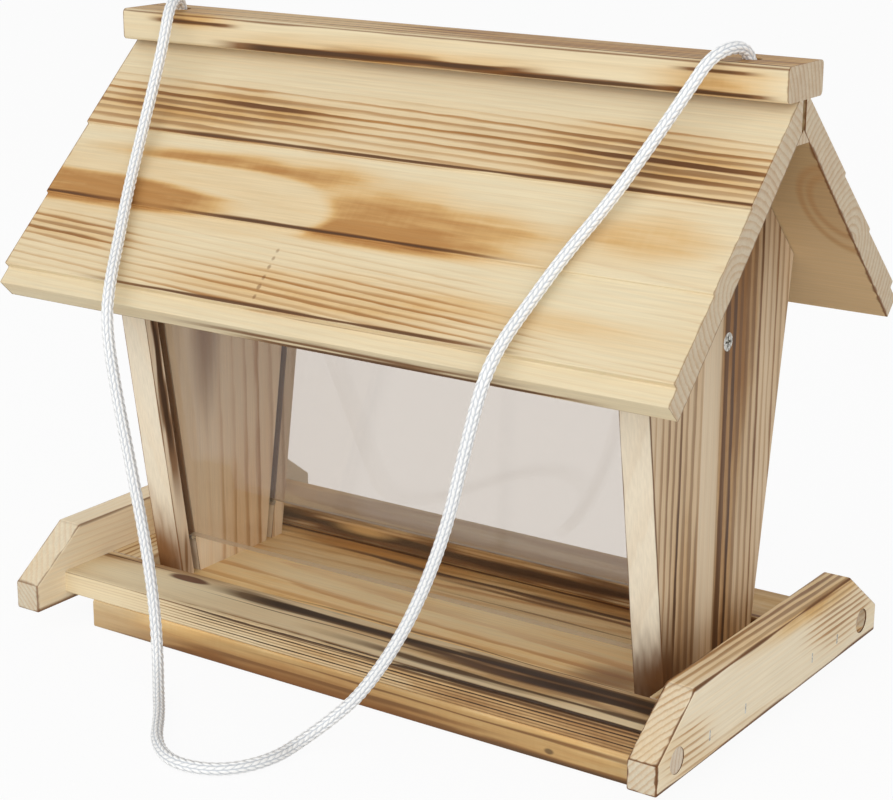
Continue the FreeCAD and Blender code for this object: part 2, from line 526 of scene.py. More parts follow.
@dataclass(frozen=True)
class FlamedWood:
    """Spruce board with its late wood burnt dark by a flame and brushed.

    Attributes:
        name: the material's name.
        grain: how the board was cut.
        profile: (place over the width in mm, how burnt) pairs.
        toast: how much the wood is browned where it is burnt.
        scorches: zones that are burnt more or less than that.
        arches: arched figures in the wood.
        bands: burnt stripes, some partly painted shade.
        edges: (normal, place) of the faces whose edges are singed.
        patches: knots, spots and patches of painted shade.
        bare: directions whose faces the flame didn't reach.
        bare_shadow_span: places over the width between which the bare faces turn from a painted shade to
            pale.
        bare_arches: arched figures on the bare faces.
        edge_width: width of the singed edges, in mm.
        edge_strength: how dark they are.
        crisp: how narrow the burnt lines stay where they are dark, from 0 to 1.
        palette: the wood's colours.
    """

    name: str
    grain: Grain
    profile: Sequence[tuple[float, float]]
    toast: float = 0.6
    scorches: Sequence[Scorch] = ()
    arches: Sequence[Arch] = ()
    bands: Sequence[Band] = ()
    edges: Sequence[tuple[Vec3, float]] = ()
    patches: Sequence[Patch] = ()
    bare: Sequence[Vec3] = ()
    bare_shadow_span: tuple[float, float] | None = None
    bare_arches: Sequence[Arch] = ()
    edge_width: float = 1.1
    edge_strength: float = 0.6
    crisp: float = 0.0
    palette: Palette = Palette()

    # How far streaks and fibres are drawn out along the grain.
    STREAK = 11.0
    FIBRE = 40.0
    # How strongly the growth rings tint the sides and the sawn ends, and how blotched the ends are.
    FIGURE = 0.12
    END_FIGURE = 0.34
    END_MOTTLE = 0.14
    # Where in a ring the late wood begins, how much sooner where it is burnt, and how soft its start is.
    LATE_START = 0.66
    LATE_GROWTH = 0.58
    LATE_RISE = 0.34
    # How much sooner a crisp line turns to char.
    CRISP_SHIFT = 0.4
    # Depth of the brushed relief in mm, and the wood's shine.
    RELIEF_DEPTH = 0.25
    GLOSS = 0.25

    def _rings(self, board: Board) -> tuple[Socket, Socket]:
        """Finds the growth ring that a place lies in.

        Args:
            board: the board.

        Returns:
            The place within the ring, from 0 to 1, and the ring's own strength.
        """
        canvas, grain = board.canvas, self.grain
        reach = grain.wander
        sway = canvas.span(board.flecks(self.STREAK, 0.03), -reach, reach)
        lift = canvas.span(board.flecks(self.STREAK, 0.03, shift=61.0), -reach, reach)
        du = canvas.math("MULTIPLY_ADD", board.along, -grain.tilt[0], canvas.math("ADD", board.over, sway))
        dv = canvas.math("MULTIPLY_ADD", board.along, -grain.tilt[1], canvas.math("ADD", board.through, lift))
        du = canvas.math("SUBTRACT", du, grain.pith[0])
        dv = canvas.math("SUBTRACT", dv, grain.pith[1])
        radius = canvas.math("SQRT", canvas.math("MULTIPLY_ADD", du, du, canvas.times(dv, dv)))
        ragged = canvas.span(board.flecks(self.STREAK, 0.5, 3.0), -0.2, 0.2)
        turn = canvas.math("ADD", canvas.math("DIVIDE", radius, grain.ring), ragged)
        year = canvas.dice(canvas.math("ADD", canvas.math("FLOOR", turn), grain.seed))
        return canvas.math("FRACT", turn), year

    def _inside(self, board: Board, arch: Arch, fray: object) -> Socket:
        """Tells whether a place lies in an arched figure.

        Args:
            board: the board.
            arch: the figure.
            fray: noise that roughens its outline.

        Returns:
            1 inside the figure and 0 outside it.
        """
        canvas = board.canvas
        ahead = canvas.math("DIVIDE", canvas.math("SUBTRACT", board.along, arch.start), arch.tip - arch.start)
        ahead = canvas.math("MAXIMUM", ahead, 0.0)
        beside = canvas.math("DIVIDE", canvas.math("SUBTRACT", board.over, arch.middle), arch.half)
        far = canvas.vector("LENGTH", canvas.triple(ahead, beside, 0.0))
        far = canvas.math("MULTIPLY_ADD", fray, 0.3, far)
        return canvas.smooth(far, 1.0 + arch.soft, 1.0 - arch.soft)

    def _burn(self, board: Board, flamed: object) -> tuple[Socket, Socket]:
        """Finds what the flame did.

        Args:
            board: the board.
            flamed: 1 on faces that the flame reached and 0 on bare ones.

        Returns:
            How dark the late wood is burnt and how browned the wood is, from 0 to 1.
        """
        canvas = board.canvas
        blotch = canvas.smooth(board.flecks(6.0, 0.05, 1.5), 0.34, 0.66)
        burn = canvas.times(canvas.curve(board.over, self.profile), canvas.span(blotch, 0.6, 1.1))
        brown = canvas.times(burn, self.toast)
        fray = canvas.span(board.flecks(4.0, 0.07, 1.5, 23.0), -0.45, 0.45)
        for scorch in self.scorches:
            off = canvas.vector("SUBTRACT", board.spot, scorch.middle)
            far = canvas.vector("LENGTH", canvas.vector("DIVIDE", off, scorch.reach))
            cover = canvas.smooth(canvas.math("ADD", far, fray), 1.25, 0.15)
            if scorch.lines:
                burn = canvas.math("MULTIPLY_ADD", cover, scorch.lines, burn)
            if scorch.toast:
                brown = canvas.math("MULTIPLY_ADD", cover, scorch.toast, brown)
        for arch in self.arches:
            inside = self._inside(board, arch, fray)
            burn = canvas.times(burn, canvas.span(inside, 1.0, 0.3))
            kept = canvas.times(brown, canvas.span(inside, 1.0, 0.0))
            brown = canvas.math("MULTIPLY_ADD", inside, arch.toast, kept)
        brush = canvas.span(canvas.noise(board.strokes(7.0), 0.45, 2.0), 0.92, 1.08)
        drift = canvas.span(board.flecks(10.0, 0.3, 3.0, 47.0), 0.4, 1.6)
        brown = canvas.times(brown, canvas.times(brush, drift))
        limit = [canvas.math("MINIMUM", canvas.math("MAXIMUM", level, 0.0), 1.0) for level in (burn, brown)]
        return tuple(canvas.times(level, flamed) for level in limit)

    def _flamed(self, board: Board) -> object:
        """Finds the bare faces.

        Args:
            board: the board.

        Returns:
            1 on faces that the flame reached and 0 on bare ones.
        """
        canvas = board.canvas
        reached = 1.0
        for way in self.bare:
            reached = canvas.times(reached, canvas.smooth(board.turned(way), 0.75, 0.5))
        return reached

    def _band(self, board: Board, ragged: Socket, wave: Socket, band: Band) -> Socket:
        """Finds how strongly a dark stripe covers a place.

        Args:
            board: the board.
            ragged: the stripe's share of its width there.
            wave: how far it is pushed aside there.
            band: the stripe.

        Returns:
            The cover, from 0 to 1.
        """
        canvas = board.canvas
        off = canvas.math("SUBTRACT", canvas.dot(board.place, band.normal), band.at)
        if band.sway:
            off = canvas.math("MULTIPLY_ADD", wave, band.sway, off)
        reach = canvas.times(ragged, band.width)
        cover = canvas.smooth(canvas.math("ABSOLUTE", off), reach, canvas.times(reach, 0.2))
        facing = canvas.math("ABSOLUTE", board.turned(band.normal))
        cover = canvas.times(cover, canvas.smooth(facing, 0.9, 0.6))
        if band.start > -FAR or band.stop < FAR:
            begun = canvas.smooth(board.along, band.start - band.fade, band.start + band.fade)
            left = canvas.smooth(board.along, band.stop + band.fade, band.stop - band.fade)
            cover = canvas.times(cover, canvas.times(begun, left))
        return canvas.times(cover, band.strength)

    def _bare_tone(self, board: Board) -> object:
        """Finds the colour of the faces that the flame didn't reach, with a painted shade across them where
        one is set.

        Args:
            board: the board.

        Returns:
            The colour.
        """
        canvas, tones = board.canvas, self.palette
        hue = tones.bare
        # Painted shade: the bare faces darken towards one side of the width.
        if self.bare_shadow_span:
            hue = canvas.mix(canvas.smooth(board.over, *self.bare_shadow_span), tones.bare_shadow_tone, tones.bare)
        for arch in self.bare_arches:
            inside = self._inside(board, arch, 0.0)
            rim = canvas.times(inside, canvas.span(inside, 1.0, 0.0))
            share = canvas.math("MULTIPLY_ADD", rim, 2.4, canvas.times(inside, 0.12))
            hue = canvas.mix(share, hue, tones.tan)
        return hue

    def _wood(self, board: Board, flamed: object, brown: Socket, figure: Socket) -> Socket:
        """Finds the wood's colour before its late wood is burnt.

        Args:
            board: the board.
            flamed: 1 on faces that the flame reached and 0 on bare ones.
            brown: how browned the wood is.
            figure: the growth rings.

        Returns:
            The colour.
        """
        canvas, tones = board.canvas, self.palette
        warmth = canvas.math("MINIMUM", canvas.times(brown, 1.6), 1.0)
        hue = canvas.mix(warmth, tones.pale, tones.honey)
        hue = canvas.mix(canvas.smooth(brown, 0.4, 1.1), hue, tones.tan)
        if self.bare:
            hue = canvas.mix(canvas.span(flamed, 0.9, 0.0), hue, self._bare_tone(board))
        return canvas.mix(canvas.times(figure, self.FIGURE), hue, tones.honey)

    def _marks(self, board: Board, sides: Socket, hue: Socket) -> Socket:
        """Adds the burnt stripes, singed edges, knots and spots, with the painted shade among them, to a
        colour.

        Args:
            board: the board.
            sides: 1 where stripes show and 0 on end grain and bare faces.
            hue: the colour.

        Returns:
            The colour with the marks on it.
        """
        canvas, tones = board.canvas, self.palette
        uneven = canvas.smooth(board.flecks(12.0, 0.2), 0.3, 0.7)
        ragged = canvas.span(uneven, 0.4, 1.3)
        wave = canvas.span(board.flecks(5.0, 0.06, 1.0, 91.0), -2.0, 2.0)
        covers = [canvas.times(self._band(board, ragged, wave, band), sides) for band in self.bands]
        for way, at in self.edges:
            edge = Band(way, at, self.edge_width, self.edge_strength)
            covers.append(self._band(board, ragged, wave, edge))
        for cover in covers:
            glow = canvas.math("MINIMUM", canvas.times(cover, 1.5), 0.9)
            hue = canvas.mix(glow, hue, tones.brown)
            hue = canvas.mix(canvas.smooth(cover, 0.6, 1.15), hue, tones.char)
        for patch in self.patches:
            off = canvas.vector("DIVIDE", canvas.vector("SUBTRACT", board.place, patch.centre), patch.radii)
            far = canvas.math("ADD", canvas.vector("LENGTH", off), canvas.span(uneven, -0.15, 0.15))
            cover = canvas.smooth(far, 1.0 + patch.soft / 2, 1.0 - patch.soft)
            hue = canvas.mix(canvas.times(cover, patch.strength), hue, patch.colour)
        return hue

    def material(self) -> bpy.types.Material:
        """Makes the board's material.

        Returns:
            The material.
        """
        canvas = NodeCanvas(bpy.data.materials.new(self.name))
        tones = self.palette
        board = Board(canvas, self.grain)
        flamed = self._flamed(board)
        burn, brown = self._burn(board, flamed)
        phase, year = self._rings(board)
        fibre = board.flecks(self.FIBRE, 1.4, 3.0)
        close = canvas.smooth(phase, 1.0, 0.88)
        figure = canvas.times(canvas.smooth(phase, 0.3, 0.9), close)
        start = canvas.math("MULTIPLY_ADD", burn, -self.LATE_GROWTH * (1.0 - self.crisp), self.LATE_START)
        line = canvas.smooth(phase, start, canvas.math("ADD", start, self.LATE_RISE))
        line = canvas.times(canvas.times(line, close), canvas.span(year, 0.45, 1.0))
        late = canvas.times(line, canvas.smooth(burn, 0.02, 0.42))

        hue = self._wood(board, flamed, brown, figure)
        mark = canvas.mix(canvas.smooth(burn, 0.25, 0.95), tones.tan, tones.brown)
        hue = canvas.mix(late, hue, mark)
        sooner = self.CRISP_SHIFT * self.crisp
        deep = canvas.smooth(canvas.times(late, burn), 0.65 - sooner, 1.05 - sooner)
        hue = canvas.mix(canvas.times(deep, 0.55 + sooner), hue, tones.char)

        end = canvas.smooth(canvas.math("ABSOLUTE", board.turned(self.grain.along.value)), 0.45, 0.75)
        mottle = canvas.smooth(canvas.noise(board.place, 0.22, 3.0), 0.35, 0.7)
        ringed = canvas.math("MULTIPLY_ADD", figure, self.END_FIGURE, canvas.times(mottle, self.END_MOTTLE))
        end_hue = canvas.mix(ringed, tones.end, tones.tan)
        hue = canvas.mix(canvas.times(end, 0.9), hue, end_hue)
        hue = self._marks(board, canvas.times(canvas.span(end, 1.0, 0.0), flamed), hue)
        shade = canvas.span(fibre, 0.86, 1.13)
        hue = canvas.mix(1.0, hue, canvas.triple(shade, shade, shade), "MULTIPLY")

        relief = canvas.math("MULTIPLY_ADD", late, 0.5, canvas.times(fibre, 0.5))
        return canvas.finish(canvas.filled("ShaderNodeBsdfPrincipled", {
            "Base Color": hue,
            "Roughness": canvas.span(late, 0.64, 0.5),
            "Specular IOR Level": self.GLOSS,
            "Normal": canvas.bump(relief, self.RELIEF_DEPTH),
        }))


@dataclass(frozen=True)
class ClearSheet:
    """Clear acrylic pane with a faint warm tint and half clear cut edges.

    Attributes:
        name: the material's name.
        tint: what the sheet lets through.
        edge: colour of the cut edges.
        groove: colour of the strips that lie in the walls' grooves.
        groove_from: where those strips begin on either side, in mm.
        gloss: how much the sheet mirrors.
        edge_cover: how much of what lies behind the edges and strips hide.
    """

    name: str
    tint: Colour = (0.925, 0.905, 0.885)
    edge: Colour = linear(214, 196, 170)
    groove: Colour = linear(150, 104, 62)
    groove_from: float = 110.0
    gloss: float = 0.05
    edge_cover: float = 0.6

    def material(self, facing: Vec3) -> bpy.types.Material:
        """Makes the pane's material.

        Args:
            facing: direction that the pane's broad side faces.

        Returns:
            The material.
        """
        canvas = NodeCanvas(bpy.data.materials.new(self.name))
        clear = canvas.filled("ShaderNodeBsdfTransparent", {"Color": self.tint})
        shine = canvas.filled("ShaderNodeBsdfGlossy", {"Roughness": 0.04})
        sheet = canvas.between(self.gloss, clear, shine)
        across = canvas.math("ABSOLUTE", canvas.dot(canvas.place_mm(), Axis.X.value))
        inset = canvas.smooth(across, self.groove_from - 0.2, self.groove_from + 0.2)
        hue = canvas.mix(inset, self.edge, self.groove)
        sawn = canvas.filled("ShaderNodeBsdfPrincipled", {"Base Color": hue, "Roughness": 0.35})
        rim = canvas.between(self.edge_cover, clear, sawn)
        broad = canvas.math("ABSOLUTE", canvas.dot(canvas.normal(), facing))
        edges = canvas.math("MAXIMUM", canvas.smooth(broad, 0.8, 0.5), inset)
        both = canvas.between(edges, sheet, rim)
        return canvas.finish(both)


@dataclass(frozen=True)
class ZincSteel:
    """Zinc-plated steel with dull spots."""

    name: str = "zinc_steel"
    bright: Colour = linear(205, 203, 196)
    dull: Colour = linear(150, 146, 138)

    def material(self) -> bpy.types.Material:
        """Makes the steel's material.

        Returns:
            The material.
        """
        canvas = NodeCanvas(bpy.data.materials.new(self.name))
        spots = canvas.smooth(canvas.noise(canvas.place_mm(), 0.9, 3.0), 0.4, 0.65)
        return canvas.finish(canvas.filled("ShaderNodeBsdfPrincipled", {
            "Base Color": canvas.mix(spots, self.bright, self.dull),
            "Roughness": canvas.span(spots, 0.32, 0.5),
            "Metallic": 0.9,
        }))


@dataclass(frozen=True)
class BraidedYarn:
    """White braid: bright strands with fine filaments, and greyer crevices painted as shade."""

    name: str = "braided_yarn"
    strand: Colour = linear(252, 252, 250)
    crevice_shade: Colour = linear(204, 208, 213)
    filament_scale: float = 9.0
    filament_depth: float = 0.1

    def material(self) -> bpy.types.Material:
        """Makes the braid's material, which reads the mesh's crown: 0 deep between strands and 1 on a
        strand's back.

        Returns:
            The material.
        """
        canvas = NodeCanvas(bpy.data.materials.new(self.name))
        crown = canvas.node("ShaderNodeAttribute", attribute_name="crown").outputs["Fac"]
        filament = canvas.noise(canvas.place_mm(), self.filament_scale, 2.0)
        # Painted shade: the crevices between strands are greyer, and the filaments take the same grey.
        hue = canvas.mix(canvas.smooth(crown, 0.1, 0.75), self.crevice_shade, self.strand)
        hue = canvas.mix(canvas.times(canvas.smooth(filament, 0.5, 0.7), 0.25), hue, self.crevice_shade)
        return canvas.finish(canvas.filled("ShaderNodeBsdfPrincipled", {
            "Base Color": hue,
            "Roughness": 0.55,
            "Sheen Weight": 0.25,
            "Normal": canvas.bump(filament, self.filament_depth),
        }))


def paint(node: str, material: bpy.types.Material) -> None:
    """Gives a CAD node its material.

    Args:
        node: the node's name.
        material: its material.
    """
    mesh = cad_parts[node].data
    mesh.materials.clear()
    mesh.materials.append(material)
    log.info("%s: %s", node, material.name)


@dataclass(frozen=True)
class PhotoCamera:
    """Camera at the photograph's place.

    Attributes:
        azimuth, elevation, roll: direction it looks from, and its tilt, in degrees.
        distance: from the aim point, in metres.
        aim: point that it looks at before the side steps, in metres.
        side, rise: steps to the right and up in the picture, in metres.
        focal_px: focal length in pixels of the photograph.
        width_px: the photograph's width.
        sensor: width of the camera's sensor, in mm.
    """

    azimuth: float = 34.315
    elevation: float = 16.556
    roll: float = 0.244
    distance: float = 0.86712
    aim: Vec3 = (0.0, 0.0, 0.08247)
    side: float = 0.00189
    rise: float = 0.01804
    focal_px: float = 2164.4
    width_px: float = 893.0
    sensor: float = 36.0

    def build(self) -> bpy.types.Object:
        """Makes the camera and sets it as the scene's.

        Returns:
            The camera.
        """
        turn, tip = math.radians(self.azimuth), math.radians(self.elevation)
        back = Vector((math.sin(turn) * math.cos(tip), -math.cos(turn) * math.cos(tip), math.sin(tip)))
        right = Vector((math.cos(turn), math.sin(turn), 0.0))
        spin = Quaternion(back, math.radians(self.roll))
        right = spin @ right
        up = back.cross(right)
        data = bpy.data.cameras.new("photo_camera")
        data.sensor_width = self.sensor
        data.lens = self.focal_px * self.sensor / self.width_px
        camera = bpy.data.objects.new("photo_camera", data)
        place = Vector(self.aim) + right * self.side + up * self.rise + back * self.distance
        turn_matrix = Matrix((right, up, back)).transposed().to_4x4()
        camera.matrix_world = Matrix.Translation(place) @ turn_matrix
        bpy.context.scene.collection.objects.link(camera)
        bpy.context.scene.camera = camera
        log.info("camera: lens %.2f mm", data.lens)
        return camera


@dataclass
class HangingCord:
    """White braided cord: the loop over the roof, a tail through each gable and a knot on each tail.

    Attributes:
        diameter: the cord's diameter. Lengths here are in metres.
        hole_x: place of the ridge holes on either side.
        join_z: height where the loop ends and a tail begins.
        join_play: gap between them.
        top_z: height where the cord turns over out of its hole.
        route: points that draw the loop.
        tail_route: points that draw the right tail, below its start.
        knot_size: a knot's radius.
        knot_in: how far a knot's middle lies past its tail's end.
        knot_steps: points along a knot.
        knot_rise: how high a knot's strands cross, in thirds of its radius.
        columns: strands around the cord.
        plait: length of a stitch.
        slant: how far a strand leans along its stitch.
        relief: height of the strands.
        fullness: share of the diameter that the strands' backs reach.
        sides: corners around the tube.
        steps_per_point: steps between two points of a route.
        yarn: the finish.
        material: the finish's material, once made.
    """

    diameter: float = 0.005
    hole_x: float = 0.130
    join_z: float = 0.240
    join_play: float = 0.0002
    top_z: float = 0.2515
    route: Sequence[Vec3] = (
        (-0.1220, -0.0165, 0.2520), (-0.1180, -0.0260, 0.2365), (-0.1170, -0.0335, 0.2210),
        (-0.1145, -0.0450, 0.2015), (-0.1065, -0.0625, 0.1830), (-0.0974, -0.0790, 0.1665),
        (-0.0885, -0.0940, 0.1545), (-0.0845, -0.1010, 0.1410), (-0.0805, -0.1015, 0.1170),
        (-0.0745, -0.1005, 0.0840), (-0.0690, -0.1000, 0.0540), (-0.0655, -0.1005, 0.0300),
        (-0.0635, -0.1020, 0.0115), (-0.0510, -0.1160, 0.0029), (-0.0395, -0.1285, 0.0029),
        (-0.0250, -0.1470, 0.0029), (-0.0100, -0.1560, 0.0029), (0.0050, -0.1535, 0.0029),
        (0.0140, -0.1450, 0.0029), (0.0185, -0.1325, 0.0029), (0.0183, -0.1190, 0.0029),
        (0.0245, -0.1070, 0.0095), (0.0370, -0.1035, 0.0225), (0.0550, -0.1010, 0.0514),
        (0.0700, -0.1003, 0.0880), (0.0785, -0.1003, 0.1220), (0.0845, -0.0995, 0.1460),
        (0.0855, -0.0900, 0.1575), (0.0880, -0.0770, 0.1685), (0.0930, -0.0615, 0.1840),
        (0.1010, -0.0460, 0.2005), (0.1105, -0.0325, 0.2215), (0.1180, -0.0265, 0.2360),
        (0.1250, -0.0185, 0.2515),
    )
    tail_route: Sequence[Vec3] = ((0.130, 0.0, 0.220), (0.126, 0.0, 0.198), (0.110, 0.0, 0.183))
    knot_size: float = 0.0041
    knot_in: float = 0.0045
    knot_steps: int = 150
    knot_rise: float = 1.15
    columns: int = 8
    plait: float = 0.0031
    slant: float = 0.8
    relief: float = 0.0005
    fullness: float = 0.95
    sides: int = 40
    steps_per_point: int = 40
    yarn: BraidedYarn = BraidedYarn()
    material: bpy.types.Material | None = None

    def _spline(self, name: str, points: Sequence[Vec3]) -> list[Vector]:
        """Returns points along the smooth spline that a route controls.

        Args:
            name: name of the curve while it exists.
            points: the route.

        Returns:
            Points along the spline, from its start to its end.
        """
        data = bpy.data.curves.new(name, "CURVE")
        data.dimensions = "3D"
        data.resolution_u = self.steps_per_point
        spline = data.splines.new("NURBS")
        spline.points.add(len(points) - 1)
        for point, place in zip(spline.points, points):
            point.co = (*place, 1.0)
        spline.order_u = 3
        spline.use_endpoint_u = True
        holder = bpy.data.objects.new(name, data)
        bpy.context.scene.collection.objects.link(holder)
        bpy.context.view_layer.update()
        mesh = bpy.data.meshes.new_from_object(holder)
        line = [vertex.co.copy() for vertex in mesh.vertices]
        bpy.data.objects.remove(holder)
        bpy.data.curves.remove(data)
        bpy.data.meshes.remove(mesh)
        return line

    def _crown(self, turn: float, travel: float) -> float:
        """Finds the height of the braid's surface.

        Args:
            turn: place around the cord, from 0 to 1.
            travel: place along it, in metres.

        Returns:
            1 on a strand's back and 0 between strands.
        """
        column = turn * self.columns
        side = 1 if int(column) % 2 == 0 else -1
        spread = column % 1.0
        stage = travel / self.plait + side * (spread - 0.25) * self.slant
        return math.sin(math.pi * (stage % 1.0)) ** 0.6 * math.sin(math.pi * spread) ** 0.5

    def _tube(self, name: str, line: Sequence[Vector], closed: bool = False) -> bpy.types.Object:
        """Makes a braided tube along a line.

        Args:
            name: the object's name.
            line: points of its middle.
            closed: whether its end meets its start.

        Returns:
            The mesh object.
        """
        rings = []
        heights = []
        count = len(line)
        side = (line[1] - line[0]).orthogonal().normalized()
        before = (line[1] - line[0]).normalized()
        travel = 0.0
        low = self.fullness * self.diameter / 2 - self.relief
        for i, middle in enumerate(line):
            back = line[i - 1] if i or closed else middle
            ahead = line[(i + 1) % count] if i + 1 < count or closed else middle
            way = (ahead - back).normalized()
            side = (before.rotation_difference(way) @ side).normalized()
            other = way.cross(side)
            before = way
            if i:
                travel += (middle - line[i - 1]).length
            for k in range(self.sides):
                turn = k / self.sides
                angle = 2 * math.pi * turn
                crown = self._crown(turn, travel)
                spoke = side * math.cos(angle) + other * math.sin(angle)
                rings.append(middle + spoke * (low + self.relief * crown))
                heights.append(crown)
        faces = []
        for i in range(count if closed else count - 1):
            here, there = i * self.sides, (i + 1) % count * self.sides
            for k in range(self.sides):
                after = (k + 1) % self.sides
                faces.append((here + k, here + after, there + after, there + k))
        if not closed:
            faces.append(tuple(reversed(range(self.sides))))
            faces.append(tuple(range((count - 1) * self.sides, count * self.sides)))
        mesh = bpy.data.meshes.new(name)
        mesh.from_pydata(rings, [], faces)
        mesh.polygons.foreach_set("use_smooth", [True] * len(faces))
        mesh.attributes.new("crown", "FLOAT", "POINT").data.foreach_set("value", heights)
        mesh.materials.append(self.material)
        made = bpy.data.objects.new(name, mesh)
        bpy.context.scene.collection.objects.link(made)
        return made

    def _knot_line(self, middle: Vector, way: Vector) -> list[Vector]:
        """Returns the closed line of a tight overhand knot around a point.

        Args:
            middle: the knot's middle.
            way: direction of the cord through it.

        Returns:
            Points along the knot.
        """
        turn = way.to_track_quat("Z", "Y")
        line = []
        for i in range(self.knot_steps):
            a = 2 * math.pi * i / self.knot_steps
            x = math.sin(a) + 2 * math.sin(2 * a)
            y = math.cos(a) - 2 * math.cos(2 * a)
            z = -self.knot_rise * math.sin(3 * a)
            line.append(middle + turn @ (Vector((x, y, z)) * (self.knot_size / 3)))
        return line

    def build(self) -> None:
        """Makes the loop, the tails and the knots."""
        self.material = self.yarn.material()
        ends = [((s * self.hole_x, 0.0, self.join_z), (s * self.hole_x, 0.0, self.top_z)) for s in (-1, 1)]
        line = self._spline("cord_loop_route", (*ends[0], *self.route, *reversed(ends[1])))
        loop = self._tube("hanging_cord_loop", line)
        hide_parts("cord_loop")
        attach(loop, "roof")
        for sign, word in ((-1, "left"), (1, "right")):
            self._tail(sign, word)

    def _tail(self, sign: int, word: str) -> None:
        """Makes one tail and its knot.

        Args:
            sign: -1 for the left one and 1 for the right one.
            word: its name.
        """
        start = (self.hole_x, 0.0, self.join_z - self.join_play)
        route = [(sign * x, y, z) for x, y, z in (start, *self.tail_route)]
        line = self._spline(f"cord_tail_{word}_route", route)
        tail = self._tube(f"cord_tail_{word}", line)
        way = (line[-1] - line[-2]).normalized()
        knot_line = self._knot_line(line[-1] + way * self.knot_in, way)
        knot = self._tube(f"cord_knot_{word}", knot_line, closed=True)
        if sign < 0:
            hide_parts("cord_tails")
            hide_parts("cord_knots")
        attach(knot, "house")
        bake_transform(tail)


